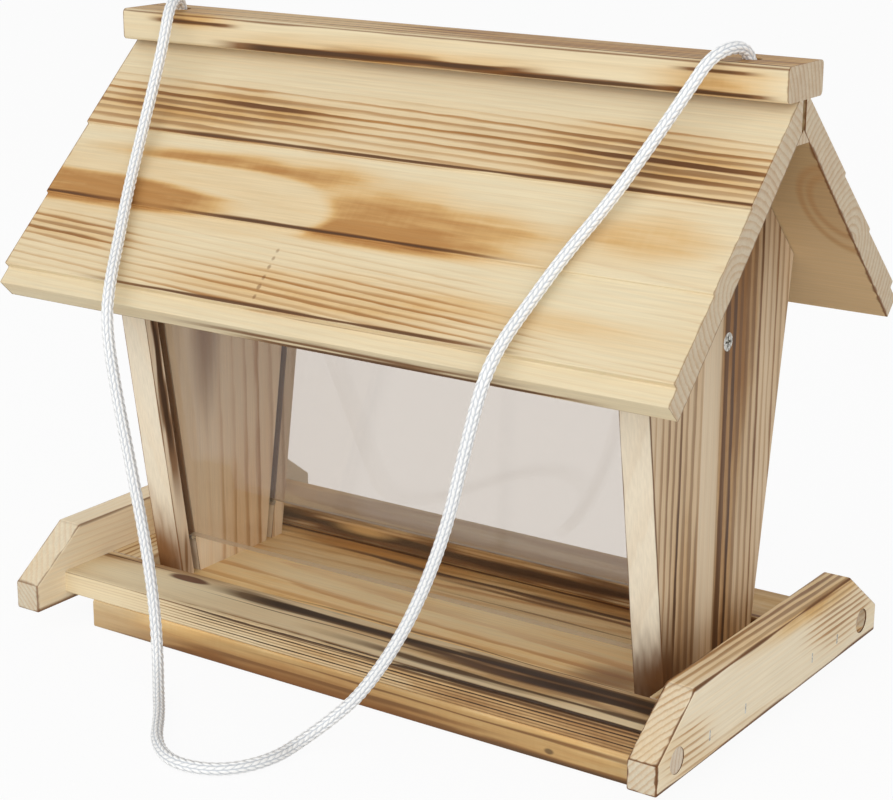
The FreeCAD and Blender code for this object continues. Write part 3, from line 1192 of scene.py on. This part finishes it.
@dataclass
class Roof:
    """Two stepped planks, the ridge board on their apex and the fillet under it. Sizes in mm."""

    half_length: float = 150.7
    apex_z: float = 224.1
    thick: float = 11.9
    step_edges: Sequence[float] = (41.2, 76.4, 111.6)
    eave: float = 119.0
    ridge_low: float = 234.5
    ridge_top: float = 247.0
    ridge_half: float = 13.5
    under_arches: Sequence[Arch] = (
        Arch(152.0, 136.5, 48.0, 26.0, 0.0, 0.14), Arch(152.0, 140.5, 46.0, 19.0, 0.0, 0.2),
    )
    # The undersides' bare tone is darkened, partly as painted shade under the roof.
    palette: Palette = Palette(
        pale=linear(225, 210, 176), bare=linear(210, 180, 136), end=linear(210, 194, 169)
    )

    def _ends(self) -> list[tuple[Vec3, float]]:
        """Returns the planes of the roof's sawn ends."""
        return [((side, 0.0, 0.0), self.half_length) for side in (-1.0, 1.0)]

    def _plank(
        self, word: str, sign: float, seed: float, scorches: Sequence[Scorch], arches: Sequence[Arch],
        marks: Sequence[tuple], spots: Sequence[tuple[float, float]], edge_width: float, edge_strength: float,
    ) -> None:
        """Paints a roof plank.

        Args:
            word: front or rear.
            sign: side of the ridge that it lies on.
            seed: its figure's own number.
            scorches: its browned zones.
            arches: its arched figures.
            marks: (edge's number, half width, strength, start, stop) of the dark lines at the step edges,
                burnt and partly a painted shadow under each step.
            spots: (place along the ridge, place down the slope) of small tool marks.
            edge_width: width of its singed edges, in mm.
            edge_strength: how dark they are.
        """
        down = (0.0, sign * ROOT_HALF, -ROOT_HALF)
        out = (0.0, sign * ROOT_HALF, ROOT_HALF)
        apex = self.apex_z * ROOT_HALF
        grain = Grain(
            Axis.X, down, out, (0.0, 0.0, self.apex_z), (62.0, -6.0), 2.8, 2.2, (0.03, 0.025), seed
        )
        first, second, third = self.step_edges
        profile = (
            (-15.0, 0.04), (11.0, 0.04), (16.0, 0.3), (22.0, 0.5), (first - 0.3, 0.52), (first + 0.3, 0.03),
            (first + 8.0, 0.06), (60.0, 0.1), (second - 0.3, 0.12), (second + 0.3, 0.04),
            (second + 7.0, 0.16), (95.0, 0.26), (third - 4.0, 0.4), (third - 0.3, 0.3),
            (third + 0.3, 0.03), (self.eave + 1.0, 0.06),
        )
        # Dark lines at the step edges: burnt, and partly a painted shadow cast by each step.
        bands = [
            Band(down, self.step_edges[i] - apex - width * 0.6, width, strength, start, stop)
            for i, width, strength, start, stop in marks
        ]
        bands.append(Band(out, apex + 1.4, 2.8, 0.9, -25.0, 112.0, 22.0, 0.3))
        bands.append(Band(out, apex + 4.6, 2.2, 0.6, -50.0, 80.0, 30.0, 0.5))
        bands.append(Band(out, apex, 0.9, 0.85, -100.0, 100.0))
        edges = [*self._ends(), (out, apex)]
        patches = [
            Patch(
                (x, sign * (t + self.thick) * ROOT_HALF, self.apex_z + (self.thick - t) * ROOT_HALF),
                (0.9, 1.3, 1.3), self.palette.brown, 0.55,
            )
            for x, t in spots
        ]
        # The bare undersides darken towards the apex: painted shade in the corner under the ridge.
        wood = FlamedWood(
            f"{word}_roof_wood", grain, profile, 0.5, scorches, arches, bands, edges, patches,
            bare=[tuple(-part for part in out)], bare_shadow_span=(15.0, 95.0), bare_arches=self.under_arches,
            edge_width=edge_width, edge_strength=edge_strength, palette=self.palette,
        )
        paint(f"{word}_roof_plank", wood.material())

    def _ridge(self) -> None:
        """Paints the ridge board and the fillet: a smooth burnt stripe on the front and a darker top."""
        grain = Grain(
            Axis.X, REAR, UP, (0.0, 0.0, self.ridge_low), (-48.0, -12.0), 2.6, 1.6, (0.01, 0.01), 7.0
        )
        low, top = self.ridge_low, self.ridge_top
        bands = (
            Band((-0.004, 0.0, 1.0), low + 2.3, 3.2, 1.0, -92.0, 44.0, 16.0, 0.25),
            Band(UP, low + 1.2, 1.7, 0.95, 30.0, 108.0, 14.0, 0.15),
            Band(UP, low + 1.4, 2.4, 0.95, 104.0, 142.0, 8.0),
            Band(UP, low, 0.8, 0.75),
            Band(UP, top - 0.6, 0.8, 0.55, -FAR, FAR, 25.0, 0.2),
            Band(UP, top - 3.2, 1.3, 0.9, -132.0, -94.0, 8.0),
            Band(UP, top - 3.4, 1.0, 0.85, 110.0, 136.0, 8.0),
            Band(REAR, -self.ridge_half + 2.0, 0.7, 0.9, -40.0, 170.0, 30.0),
            Band(REAR, -self.ridge_half + 6.0, 0.8, 0.9, -150.0, 150.0, 30.0, 0.8),
            Band(REAR, -2.0, 0.7, 0.9, -90.0, 170.0, 30.0, 0.8),
            Band(REAR, 4.0, 0.9, 0.9, -FAR, 120.0, 30.0, 0.8),
        )
        profile = ((-13.6, 0.05), (-12.6, 0.1), (-11.0, 0.8), (13.0, 0.85))
        scorches = (
            Scorch((-20.0, -13.5, 3.0), (85.0, 4.0, 5.5), 0.0, 0.55),
            Scorch((120.0, -13.5, 4.0), (26.0, 4.0, 9.0), 0.1, 0.5),
            Scorch((-112.0, -13.0, 10.5), (26.0, 5.0, 4.0), 0.0, 0.6),
        )
        wood = FlamedWood(
            "ridge_wood", grain, profile, 0.75, scorches, (), bands, self._ends(), edge_width=0.8,
            edge_strength=0.5, palette=self.palette,
        )
        ridge = wood.material()
        paint("ridge_board", ridge)
        paint("ridge_fillet", ridge)

    def build(self) -> None:
        """Paints the roof's pieces."""
        front = (
            Scorch((-88.0, 30.0, 0.0), (72.0, 15.0, FAR), 0.5, 0.42),
            Scorch((112.0, 29.0, 0.0), (58.0, 16.0, FAR), 0.42, 0.3),
            Scorch((-66.0, 52.0, 0.0), (84.0, 7.5, FAR), 0.05, 0.95),
            Scorch((14.0, 66.0, 0.0), (78.0, 15.0, FAR), 0.05, 0.8),
            Scorch((12.0, 75.0, 0.0), (70.0, 6.0, FAR), 0.15, 0.7),
            Scorch((117.0, 60.0, 0.0), (34.0, 12.0, FAR), 0.0, 0.45),
            Scorch((-128.0, 91.0, 0.0), (46.0, 8.0, FAR), 0.4, 0.3),
            Scorch((-5.0, 101.0, 0.0), (100.0, 11.0, FAR), 0.12, 0.25),
            Scorch((112.0, 96.0, 0.0), (50.0, 20.0, FAR), -0.2, -0.1),
            Scorch((95.0, 97.0, 0.0), (64.0, 7.0, FAR), 0.0, 0.3),
        )
        arches = (Arch(-56.0, -11.0, 68.0, 15.0, 0.2), Arch(-128.0, -62.0, 71.0, 7.0, 1.05, 0.3))
        # Dark step-edge lines: burnt, and partly painted shadow under each step.
        marks = (
            (0, 1.4, 0.9, -112.0, 170.0), (1, 1.4, 0.9, -200.0, -108.0), (1, 1.4, 0.95, -78.0, 60.0),
            (2, 1.2, 0.9, -95.0, 76.0),
        )
        dots = ((-27.0, 86.0), (-27.0, 89.5), (-26.8, 93.5), (-26.6, 98.0), (-26.4, 102.5), (-26.0, 107.0))
        self._plank("front", -1.0, 1.0, front, arches, marks, dots, 0.8, 0.4)
        rear = (
            Scorch((60.0, 28.0, 0.0), (70.0, 14.0, FAR), 0.4, 0.2),
            Scorch((-40.0, 62.0, 0.0), (70.0, 12.0, FAR), 0.05, 0.8),
            Scorch((90.0, 100.0, 0.0), (60.0, 12.0, FAR), 0.3, 0.3),
        )
        arches = (Arch(-112.0, -66.0, 66.0, 13.0, 0.2),)
        # Dark step-edge lines of the rear plank: burnt, and partly painted shadow.
        marks = ((0, 1.0, 0.85, -160.0, 60.0), (1, 1.0, 0.85, 20.0, 160.0))
        self._plank("rear", 1.0, 4.0, rear, arches, marks, (), 1.3, 0.6)
        self._ridge()


@dataclass
class Walls:
    """End walls with leaning edges, and the crossbar between them. Sizes in mm."""

    outer: float = 122.5
    foot_z: float = 11.8
    foot_half: float = 33.4
    lean: float = 0.155
    inner: float = 110.0
    bar_z: float = 143.0
    outside: Palette = Palette(
        pale=linear(226, 206, 176), honey=linear(202, 166, 122), tan=linear(160, 116, 72),
        brown=linear(102, 67, 37),
    )
    # The inside palette, for the left wall seen from inside the house, is a lightened copy of the wood that
    # offsets the shade there: painted light.
    inside: Palette = Palette(
        pale=linear(255, 240, 214), honey=linear(244, 210, 164), tan=linear(206, 160, 110),
        brown=linear(138, 96, 58),
    )

    def _wall(
        self, word: str, sign: float, seed: float, ring: float, palette: Palette, profile: Sequence[tuple],
        scorches: Sequence[Scorch], bands: Sequence[Band], patches: Sequence[Patch],
    ) -> None:
        """Paints a wall.

        Args:
            word: left or right.
            sign: side of the middle that it stands on.
            seed: its figure's own number.
            ring: its growth rings' width.
            palette: its colours.
            profile: how burnt it is from front to rear.
            scorches: its browned zones.
            bands: its burnt stripes, some partly painted shade.
            patches: its scorched spots and patches of painted shade.
        """
        grain = Grain(
            Axis.Z, REAR, (sign, 0.0, 0.0), ORIGIN, (-190.0, 60.0), ring, 3.0, (0.0, 0.0), seed
        )
        toe = -self.foot_half - 2.0
        foot = Patch(
            (sign * self.outer, toe, self.foot_z), (16.0, 14.0, 36.0), palette.brown, 1.0, 0.7
        )
        smudge = Patch(
            (sign * (self.outer - 4.5), toe, self.foot_z + 9.0), (13.0, 12.0, 13.0), palette.brown, 0.95, 0.8
        )
        edges = [((sign, 0.0, 0.0), side) for side in (self.inner, self.outer)]
        wood = FlamedWood(
            f"{word}_wall_wood", grain, profile, 0.45, scorches, (), bands, edges, (foot, smudge, *patches),
            bare=[FRONT], edge_width=0.6, edge_strength=0.6, crisp=0.3, palette=palette,
        )
        paint(f"{word}_wall", wood.material())

    def build(self) -> None:
        """Paints the walls and the crossbar."""
        slant = math.hypot(1.0, self.lean)
        lean_in = (0.0, 1.0 / slant, self.lean / slant)
        front = (self.lean * self.foot_z - self.foot_half) / slant
        singed = Band(lean_in, front, 0.8, 0.6)
        profile = (
            (-60.0, 0.5), (-42.0, 0.6), (-34.0, 0.68), (-14.0, 0.74), (-12.0, 0.06), (1.0, 0.06), (2.5, 1.0),
            (14.0, 1.0), (17.0, 0.9), (28.0, 0.9), (34.0, 0.7), (60.0, 0.5),
        )
        scorches = (
            Scorch((45.0, -24.0, 122.0), (50.0, 14.0, FAR), 0.25, 0.15),
            Scorch((110.0, 9.0, 122.0), (90.0, 10.0, FAR), 0.2, 0.4),
            Scorch((165.0, 15.0, 122.0), (60.0, 16.0, FAR), 0.3, 0.6),
            Scorch((22.0, 14.0, 122.0), (24.0, 30.0, FAR), 0.3, 0.3),
        )
        bands = (singed, Band(UP, self.foot_z, 5.0, 0.8), Band(REAR, 4.5, 2.6, 0.8))
        soot_and_eave_shade = [
            Patch((self.outer, y, z), radii, self.outside.brown, strength, 1.0)
            for y, z, radii, strength in (
                # The patch high up at 182 mm is painted shade of the roof's overhang, over burnt lines.
                (-26.0, self.foot_z, (6.0, 18.0, 32.0), 0.85), (20.0, 182.0, (6.0, 34.0, 46.0), 0.38),
                (12.0, 120.0, (6.0, 15.0, 70.0), 0.22),
            )
        ]
        self._wall("right", 1.0, 13.0, 4.6, self.outside, profile, scorches, bands, soot_and_eave_shade)
        profile = (
            (-60.0, 0.1), (-24.0, 0.12), (-10.0, 0.12), (-6.0, 0.3), (3.0, 0.35), (10.0, 0.4), (22.0, 0.5),
            (60.0, 0.4),
        )
        scorches = (
            Scorch((128.0, -16.0, 0.0), (46.0, 8.0, FAR), 0.1, 0.8),
            Scorch((30.0, 8.0, 0.0), (36.0, 16.0, FAR), 0.1, 0.3),
        )
        # The second band is the dark line at the groove by the front edge: burnt, and partly the groove's
        # shadow painted in.
        bands = (singed, Band(lean_in, front + 4.2, 3.8, 1.0, 58.0, FAR, 24.0))
        blob = Patch((-self.inner, -15.0, 122.0), (9.0, 8.5, 42.0), linear(132, 104, 88), 0.6, 0.8)
        cracks = (
            Patch((-self.inner, -31.0, 21.0), (4.0, 1.3, 12.0), self.inside.brown, 0.8),
            Patch((-self.inner, -25.5, 17.0), (4.0, 1.1, 9.0), self.inside.brown, 0.7),
        )
        self._wall("left", -1.0, 11.0, 8.0, self.inside, profile, scorches, bands, (blob, *cracks))
        grain = Grain(
            Axis.X, REAR, UP, (0.0, 0.0, self.bar_z), (60.0, -30.0), 3.0, 2.0, (0.0, 0.0), 17.0
        )
        paint("crossbar", FlamedWood("crossbar_wood", grain, ((-20.0, 0.3), (20.0, 0.4))).material())


@dataclass
class Tray:
    """Floor board, planks and end strips. Sizes in mm."""

    board_top: float = 11.8
    plank_top: float = 21.2
    outer: float = 74.2
    plank_palette: Palette = Palette(
        honey=linear(210, 174, 122), tan=linear(156, 114, 70), brown=linear(84, 55, 30),
        char=linear(40, 26, 16),
    )
    # The floor's palette is lightened to offset the shade under the roof: painted light.
    palette: Palette = Palette(
        pale=linear(255, 242, 204), honey=linear(248, 208, 140), tan=linear(214, 158, 92),
        brown=linear(128, 82, 40),
    )

    def _front_plank(self) -> None:
        """Paints the plank at the front: fine lines on its face and dark bands on its top."""
        grain = Grain(Axis.X, REAR, UP, ORIGIN, (-58.0, -95.0), 1.2, 1.4, (0.0, 0.003), 21.0)
        bands = (
            Band(REAR, -51.5, 6.0, 1.0, -66.0, 170.0, 22.0, 1.0),
            Band(REAR, -57.0, 5.0, 1.0, 50.0, 170.0, 40.0, 1.0),
            Band(REAR, -65.5, 3.2, 0.8, 10.0, 170.0, 40.0, 0.9),
            Band(REAR, -58.5, 0.8, 0.5, -70.0, 40.0, 30.0, 0.8),
            Band(REAR, -48.5, 1.2, 0.7, -138.0, -104.0, 14.0, 0.6),
            Band(UP, self.plank_top - 1.0, 0.9, 0.6, -60.0, 170.0),
        )
        scorches = (
            Scorch((70.0, -self.outer, 16.5), (160.0, 3.0, 20.0), 1.5, 0.4),
            Scorch((115.0, -self.outer, 16.5), (90.0, 3.0, 20.0), 0.6, 0.3),
            Scorch((80.0, -57.0, self.plank_top), (110.0, 12.0, 20.0), 0.1, 0.45),
            Scorch((-100.0, -62.0, self.plank_top), (50.0, 14.0, 20.0), -0.3, -0.15),
        )
        maroon = Patch((-91.0, -51.5, self.plank_top), (10.5, 2.7, 3.0), Palette().maroon, 0.9, 0.3)
        profile = ((-75.0, 0.22), (-73.0, 0.22), (-66.0, 0.3), (-45.0, 0.45))
        wood = FlamedWood(
            "front_plank_wood", grain, profile, 0.7, scorches, (), bands, ((UP, self.plank_top),), (maroon,),
            edge_width=0.6, crisp=0.4, palette=self.plank_palette,
        )
        paint("front_tray_plank", wood.material())

    def _floor(self) -> None:
        """Paints the floor board: tan with dark bands, and burnt along its lower front edge."""
        grain = Grain(Axis.X, REAR, UP, ORIGIN, (4.0, -24.0), 4.6, 5.0, (0.03, 0.03), 29.0)
        profile = (
            (-75.0, 0.3), (-73.0, 0.3), (-45.0, 0.35), (-20.0, 0.38), (10.0, 0.3), (26.0, 0.35), (36.0, 0.6),
            (46.0, 0.75), (75.0, 0.75),
        )
        bands = (
            Band(UP, 0.2, 3.4, 1.0, -110.0, 170.0),
            Band(UP, 4.6, 1.5, 0.7, -70.0, 60.0, 40.0, 0.8),
            Band(UP, 8.6, 1.2, 0.65, -20.0, 140.0, 40.0, 0.6),
            Band(REAR, 44.0, 1.8, 0.9, -FAR, FAR, 30.0, 0.4),
            Band(REAR, 33.0, 3.0, 0.95, -72.0, 110.0, 20.0, 1.6),
            Band(REAR, -27.0, 1.4, 0.55, -50.0, 110.0, 40.0, 2.5),
            Band(REAR, 17.0, 1.2, 0.5, 0.0, 110.0, 40.0, 2.0),
            Band(REAR, 29.0, 1.6, 0.6, -20.0, 110.0, 40.0, 2.5),
        )
        spots = (
            Patch((98.0, -self.outer, 4.3), (2.0, 2.0, 1.2), Palette().char, 0.8),
            Patch((92.0, -21.0, self.board_top), (17.0, 11.0, 3.0), linear(120, 74, 40), 0.7, 0.8),
            Patch((-48.0, 39.0, self.board_top), (42.0, 3.6, 3.0), linear(226, 168, 92), 0.75, 0.8),
            Patch((20.0, -self.outer, 5.0), (190.0, 2.0, 9.0), linear(112, 88, 62), 0.5, 0.6),
            Patch((-62.0, -self.outer, 3.0), (13.0, 2.0, 2.6), linear(128, 82, 40), 0.75, 0.9),
            Patch((-118.0, -self.outer, 6.0), (36.0, 2.0, 12.0), linear(182, 160, 130), 0.5, 0.8),
            Patch((-10.0, -self.outer, 0.5), (82.0, 2.0, 5.2), linear(128, 84, 44), 0.85, 0.7),
        )
        scorches = (
            Scorch((-66.0, 10.0, self.board_top), (44.0, 24.0, 4.0), -0.15, -0.1),
            Scorch((20.0, -self.outer, 2.0), (230.0, 3.0, 14.0), 0.05, 0.5),
        )
        wood = FlamedWood(
            "floor_wood", grain, profile, 1.2, scorches, (), bands, (), spots, palette=self.palette
        )
        paint("floor_board", wood.material())

    def build(self) -> None:
        """Paints the tray's pieces."""
        self._front_plank()
        self._floor()
        grain = Grain(Axis.X, REAR, UP, ORIGIN, (62.0, -95.0), 1.6, 1.6, (0.0, 0.004), 25.0)
        # The first band darkens the plank's whole inner face: burnt, and partly a painted shade that the
        # house throws on it.
        bands = (
            Band(UP, 16.4, 6.0, 1.0, -FAR, FAR, 25.0, 0.8), Band(REAR, 47.0, 2.0, 0.7, -FAR, FAR, 25.0, 0.6),
        )
        flame = Patch((-72.0, 45.0, 17.0), (15.0, 4.0, 2.4), self.palette.honey, 0.8, 0.8)
        profile = ((40.0, 0.5), (75.0, 0.6))
        wood = FlamedWood("rear_plank_wood", grain, profile, 0.9, (), (), bands, (), (flame,))
        paint("rear_tray_plank", wood.material())
        for word, seed in (("left", 33.0), ("right", 37.0)):
            grain = Grain(
                Axis.Y, Axis.X.value, UP, ORIGIN, (0.0, -60.0), 3.0, 2.0, (0.0, 0.0), seed
            )
            wood = FlamedWood(f"{word}_strip_wood", grain, ((-150.0, 0.4), (150.0, 0.4)))
            paint(f"{word}_end_strip", wood.material())


@dataclass
class EndRails:
    """Rails with sloping top corners, and the plugs in them. Sizes in mm."""

    inner: float = 139.0
    outer: float = 151.0
    low: float = 7.8
    top: float = 38.8
    half: float = 90.7
    palette: Palette = Palette(
        pale=linear(244, 230, 202), honey=linear(228, 190, 128), tan=linear(184, 134, 76),
        end=linear(208, 198, 176),
    )

    def _rail(self, word: str, sign: float, seed: float, level: float, singed: float) -> None:
        """Paints a rail.

        Args:
            word: left or right.
            sign: side of the middle that it lies on.
            seed: its figure's own number.
            level: how burnt its top and inner face are.
            singed: how dark its edges are.
        """
        across = (sign, 0.0, 0.0)
        grain = Grain(
            Axis.Y, across, UP, ORIGIN, (self.outer + 55.0, -40.0), 2.0, 2.0, (0.02, 0.0), seed
        )
        profile = ((self.inner - 1.0, level), (self.outer - 1.0, level), (self.outer - 0.3, 0.05))
        scorches = (
            Scorch((58.0, self.outer, 26.0), (40.0, 3.0, 14.0), 0.5, 0.15),
            Scorch((-70.0, self.outer, 18.0), (22.0, 3.0, 12.0), 0.4, 0.15),
            Scorch((-30.0, self.outer, 9.0), (60.0, 3.0, 4.0), 0.3, 0.15),
            Scorch((34.0, self.outer, 37.0), (70.0, 3.0, 6.0), 0.2, 0.5),
            Scorch((40.0, self.outer - 6.0, self.top), (50.0, 9.0, 4.0), 0.2, 0.1),
            Scorch((-86.0, self.outer - 6.0, 24.0), (16.0, 12.0, 24.0), -0.1, 0.12),
            Scorch((88.0, self.outer - 6.0, 24.0), (12.0, 12.0, 24.0), -0.1, 0.1),
        )
        bands = (Band(UP, self.low + 0.4, 1.9, singed, -FAR, FAR, 25.0, 0.3),)
        edges = [
            (across, self.inner), (across, self.outer), (UP, self.top), (UP, self.low),
            (REAR, self.half), (FRONT, self.half),
        ]
        wood = FlamedWood(
            f"{word}_rail_wood", grain, profile, 0.5, scorches, (), bands, edges,
            edge_width=1.3, edge_strength=singed, palette=self.palette,
        )
        paint(f"{word}_end_rail", wood.material())

    def build(self) -> None:
        """Paints the rails and plugs."""
        self._rail("left", -1.0, 41.0, 0.12, 0.5)
        self._rail("right", 1.0, 43.0, 0.55, 0.9)
        grain = Grain(Axis.X, REAR, UP, ORIGIN, (0.0, 0.0), 2.4, 2.0, (0.0, 0.0), 47.0)
        profile = ((-100.0, 0.1), (60.0, 0.1), (70.0, 0.8), (100.0, 0.8))
        paint("rail_plugs", FlamedWood("plug_wood", grain, profile).material())


@dataclass
class Panes:
    """Clear sheets in the walls' grooves."""

    lean: float = 0.155

    def build(self) -> None:
        """Paints the panes."""
        slant = math.hypot(1.0, self.lean)
        for word, side in (("front", -1.0), ("rear", 1.0)):
            facing = (0.0, side / slant, -self.lean / slant)
            paint(f"{word}_pane", ClearSheet(f"{word}_sheet").material(facing))


@dataclass
class Fasteners:
    """Screws, staples and pins."""

    nodes: Sequence[str] = (
        "rail_staples", "wall_foot_screws", "tray_plank_screws", "crossbar_screws", "pane_stop_pins",
        "ridge_screws",
    )

    def build(self) -> None:
        """Paints the fasteners."""
        steel = ZincSteel().material()
        for node in self.nodes:
            paint(node, steel)


@dataclass
class Studio:
    """Pale floor, white surroundings and soft lights.

    Attributes:
        floor_half: half the floor's width, in metres.
        floor_drop: how far it lies below the object, in metres.
        floor_tone: how pale it is as a surface.
        floor_glow: how much of it is plain white where it is looked at.
        ambient: how strongly the surroundings light the object.
        aim: point that the lamps look at.
        lamps: (name, place, size in metres, power in watts) of each.
    """

    floor_half: float = 6.0
    floor_drop: float = 0.0003
    floor_tone: float = 0.82
    floor_glow: float = 0.93
    ambient: float = 0.58
    aim: Vec3 = (0.0, 0.0, 0.1)
    lamps: Sequence[tuple[str, Vec3, float, float]] = (
        ("key", (-0.6, -1.75, 1.1), 2.2, 12.2), ("fill", (1.1, -1.5, 0.75), 1.6, 15.0),
    )

    def _floor(self) -> None:
        """Makes the floor: white where it is looked at, with a faint shadow."""
        mesh = bpy.data.meshes.new("floor")
        h = self.floor_half
        mesh.from_pydata([(-h, -h, 0), (h, -h, 0), (h, h, 0), (-h, h, 0)], [], [(0, 1, 2, 3)])
        canvas = NodeCanvas(bpy.data.materials.new("floor_white"))
        matte = canvas.filled("ShaderNodeBsdfDiffuse", {"Color": (self.floor_tone,) * 3})
        glow = canvas.filled("ShaderNodeEmission", {"Strength": 1.0})
        both = canvas.between(canvas.times(canvas.seen(), self.floor_glow), matte, glow)
        mesh.materials.append(canvas.finish(both))
        floor = bpy.data.objects.new("floor", mesh)
        floor.location.z = -self.floor_drop
        bpy.context.scene.collection.objects.link(floor)

    def _world(self) -> None:
        """Makes the surroundings: white where they are looked at, softer as light."""
        world = bpy.data.worlds.new("surroundings")
        bpy.context.scene.world = world
        canvas = NodeCanvas(world)
        strength = canvas.span(canvas.seen(), self.ambient, 1.0)
        sky = canvas.filled("ShaderNodeBackground", {"Color": (1.0, 1.0, 1.0), "Strength": strength})
        canvas.finish(sky, "ShaderNodeOutputWorld")

    def _lamp(self, name: str, place: Vec3, size: float, power: float) -> None:
        """Makes a soft lamp.

        Args:
            name: its name.
            place: where it hangs, in metres.
            size: its width, in metres.
            power: its power, in watts.
        """
        data = bpy.data.lights.new(name, "AREA")
        data.shape = "SQUARE"
        data.size = size
        data.energy = power
        lamp = bpy.data.objects.new(name, data)
        lamp.location = place
        way = Vector(self.aim) - Vector(place)
        lamp.rotation_euler = way.to_track_quat("-Z", "Y").to_euler()
        bpy.context.scene.collection.objects.link(lamp)

    def build(self) -> None:
        """Makes the floor, the surroundings and the lamps."""
        self._floor()
        self._world()
        for lamp in self.lamps:
            self._lamp(*lamp)
        bpy.context.scene.view_settings.view_transform = "Standard"
        log.info("studio")


def main() -> None:
    """Builds the scene: camera and cord first, then the finishes and the studio."""
    logging.basicConfig(level=logging.INFO)
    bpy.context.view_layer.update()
    PhotoCamera().build()
    for group in (HangingCord(), Roof(), Walls(), Tray(), EndRails(), Panes(), Fasteners(), Studio()):
        group.build()
    bpy.context.view_layer.update()


if __name__ == "__main__":
    main()
